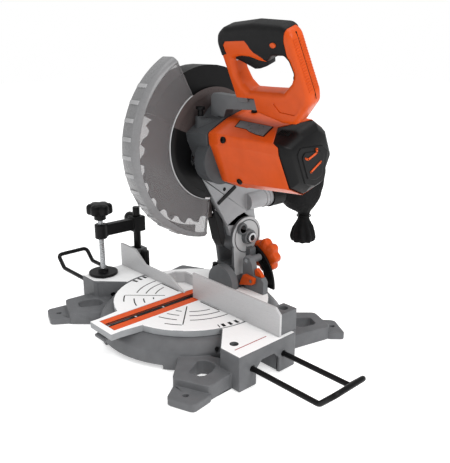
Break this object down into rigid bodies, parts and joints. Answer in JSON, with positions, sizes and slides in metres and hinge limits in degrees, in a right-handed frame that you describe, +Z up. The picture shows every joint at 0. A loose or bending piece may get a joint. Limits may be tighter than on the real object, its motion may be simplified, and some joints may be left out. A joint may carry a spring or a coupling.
{
  "type": "mitre saw",
  "caption": "Compound mitre saw: cast base with turntable, fence, clamp and extension wires, a tilting arm, and a sprung chopping head with blade, guards, motor, D handle and dust bag.",
  "frame": {"origin": "bottom centre of the whole saw, on the bench", "axes": "+Z up, +X to the saw's right, -Y towards the operator"},
  "size_m": [0.6674, 0.4608, 0.4657],
  "materials": {
    "cast_grey": "cast, satin grey paint",
    "table_grey": "cast, machined and bright",
    "fence_metal": "cast, machined",
    "steel": "bright",
    "head_silver": "cast, satin silver paint",
    "black_metal": "satin black",
    "black_plastic": "moulded",
    "orange_plastic": "moulded",
    "guard_clear": "smoky, see-through",
    "copper": "windings",
    "bag_fabric": "woven"
  },
  "bodies": {
    "root": {"base_casting": "cast_grey", "pivot_nut": "steel", "pivot_bolt": "steel", "fence": "fence_metal", "fence_bolt_right": "steel", "fence_bolt_left": "steel"},
    "wire_right": {"extension_wire_right": "black_metal"},
    "wire_left": {"extension_wire_left": "black_metal"},
    "clamp_post": {"clamp_post": "black_metal"},
    "clamp_arm": {"clamp_arm": "black_metal"},
    "arm_knob": {"clamp_arm_knob": "black_plastic"},
    "clamp_pad": {"clamp_pad": "black_plastic"},
    "clamp_screw": {"clamp_screw": "steel", "clamp_knob": "black_plastic"},
    "post_knob": {"clamp_post_knob": "black_plastic"},
    "turntable": {"turntable": "table_grey", "kerf_board_right": "orange_plastic", "kerf_board_left": "orange_plastic", "bevel_stop_screw": "black_plastic", "bevel_lock_stud": "steel", "bevel_pointer": "orange_plastic", "bevel_pivot_pin": "steel"},
    "mitre_latch": {"mitre_latch": "cast_grey"},
    "bevel_knob": {"bevel_lock_knob": "orange_plastic"},
    "stop_lever": {"bevel_stop_lever": "orange_plastic"},
    "tilt": {"tilt_arm": "cast_grey", "head_pivot_shaft": "steel", "bevel_scale": "black_plastic", "torsion_spring": "steel"},
    "hold_down_pin": {"hold_down_pin": "black_plastic"},
    "head": {"head_casting": "head_silver", "arbor_bearing": "steel", "upper_guard": "black_plastic", "guard_retainer": "black_metal", "chip_chute": "black_plastic", "motor_housing": "orange_plastic", "motor_end_cap": "black_plastic", "motor_bearing_front": "steel", "motor_bearing_rear": "steel", "motor_stator": "copper", "handle_front": "orange_plastic", "handle_back": "orange_plastic", "trigger_pin": "steel", "switch_block": "black_plastic", "dust_collar": "black_plastic", "dust_bag": "bag_fabric", "bag_tie": "black_plastic"},
    "spindle": {"saw_blade": "steel", "arbor_shaft": "steel", "outer_flange": "steel", "arbor_bolt": "steel", "arbor_gear": "steel"},
    "armature": {"armature": "copper", "motor_fan": "black_plastic"},
    "lower_guard": {"lower_guard": "guard_clear"},
    "trigger": {"switch_trigger": "black_plastic"},
    "lock_button": {"lock_off_button": "orange_plastic"},
    "spindle_lock": {"spindle_lock_button": "black_plastic"}
  },
  "joints": [
    {"name": "wire_right_slide", "type": "slide", "parent": "root", "child": "wire_right", "axis": [-1, 0, 0], "range_m": [0, 0.044]},
    {"name": "wire_left_slide", "type": "slide", "parent": "root", "child": "wire_left", "axis": [1, 0, 0], "range_m": [0, 0.044]},
    {"name": "clamp_swing", "type": "hinge", "parent": "root", "child": "clamp_post", "pos_m": [-0.177, -0.03842, 0.051], "axis": [0, 0, -1], "range_deg": [-25, 25]},
    {"name": "clamp_lift", "type": "slide", "parent": "clamp_post", "child": "clamp_arm", "axis": [0, 0, -1], "range_m": [-0.018, 0]},
    {"name": "arm_knob_turn", "type": "hinge", "parent": "clamp_arm", "child": "arm_knob", "pos_m": [-0.177, -0.03842, 0.136], "axis": [1, 0, 0], "range_deg": [0, 360]},
    {"name": "clamp_feed", "type": "slide", "parent": "clamp_arm", "child": "clamp_pad", "axis": [0, 0, -1], "range_m": [-0.04, 0]},
    {"name": "clamp_screw_turn", "type": "hinge", "parent": "clamp_pad", "child": "clamp_screw", "pos_m": [-0.18, -0.11042, 0.0605], "axis": [0, 0, -1], "range_deg": [-2890, 10]},
    {"name": "post_knob_turn", "type": "hinge", "parent": "root", "child": "post_knob", "pos_m": [-0.152, -0.04092, 0.051], "axis": [0, 0, 1], "range_deg": [0, 360]},
    {"name": "mitre_turn", "type": "hinge", "parent": "root", "child": "turntable", "pos_m": [0, -0.05942, 0.051], "axis": [0, 0, 1], "range_deg": [-45, 45]},
    {"name": "latch_press", "type": "hinge", "parent": "turntable", "child": "mitre_latch", "pos_m": [0, -0.20942, 0.0375], "axis": [1, 0, 0], "range_deg": [0, 8], "stiffness_Nm_per_rad": 0.5, "springref_deg": -11.46},
    {"name": "bevel_knob_turn", "type": "hinge", "parent": "turntable", "child": "bevel_knob", "pos_m": [0.03694, 0.07808, 0.09828], "axis": [0, 1, 0], "range_deg": [0, 360]},
    {"name": "stop_lever_swing", "type": "hinge", "parent": "turntable", "child": "stop_lever", "pos_m": [0.0549, 0.02658, 0.07052], "axis": [0, 1, 0], "range_deg": [0, 12]},
    {"name": "bevel_tilt", "type": "hinge", "parent": "turntable", "child": "tilt", "pos_m": [0, 0.01628, 0.051], "axis": [0, -1, 0], "range_deg": [0, 45]},
    {"name": "hold_down_slide", "type": "slide", "parent": "tilt", "child": "hold_down_pin", "axis": [-1, 0, 0], "range_m": [0, 0.0035]},
    {"name": "head_chop", "type": "hinge", "parent": "tilt", "child": "head", "pos_m": [0, 0.04658, 0.133], "axis": [1, 0, 0], "range_deg": [0, 57.5], "stiffness_Nm_per_rad": 5, "springref_deg": -68.75},
    {"name": "blade_spin", "type": "hinge", "parent": "head", "child": "spindle", "pos_m": [0, -0.04342, 0.276], "axis": [1, 0, 0], "continuous": true},
    {"name": "armature_spin", "type": "hinge", "parent": "head", "child": "armature", "pos_m": [0.036, -0.00442, 0.292], "axis": [1, 0, 0], "continuous": true},
    {"name": "guard_open", "type": "hinge", "parent": "head", "child": "lower_guard", "pos_m": [0, -0.01842, 0.292], "axis": [1, 0, 0], "range_deg": [-130.2, 0]},
    {"name": "trigger_pull", "type": "hinge", "parent": "head", "child": "trigger", "pos_m": [0.108, -0.05728, 0.42078], "axis": [0, -0.9397, -0.342], "range_deg": [0, 4], "stiffness_Nm_per_rad": 0.3, "springref_deg": -17.19},
    {"name": "lock_button_press", "type": "slide", "parent": "head", "child": "lock_button", "axis": [0, 0.9397, 0.342], "range_m": [0, 0.0022], "stiffness_N_per_m": 300, "springref_m": -0.003},
    {"name": "spindle_lock_press", "type": "slide", "parent": "head", "child": "spindle_lock", "axis": [0, 0, -1], "range_m": [0, 0.003], "stiffness_N_per_m": 400, "springref_m": -0.004}
  ],
  "couplings": [
    {"joint": "clamp_screw_turn", "follows": "clamp_feed", "rad_per_m": 1256.6},
    {"joint": "armature_spin", "follows": "blade_spin", "ratio": -2.4667},
    {"joint": "guard_open", "follows": "head_chop", "ratio": -2.2609}
  ]
}
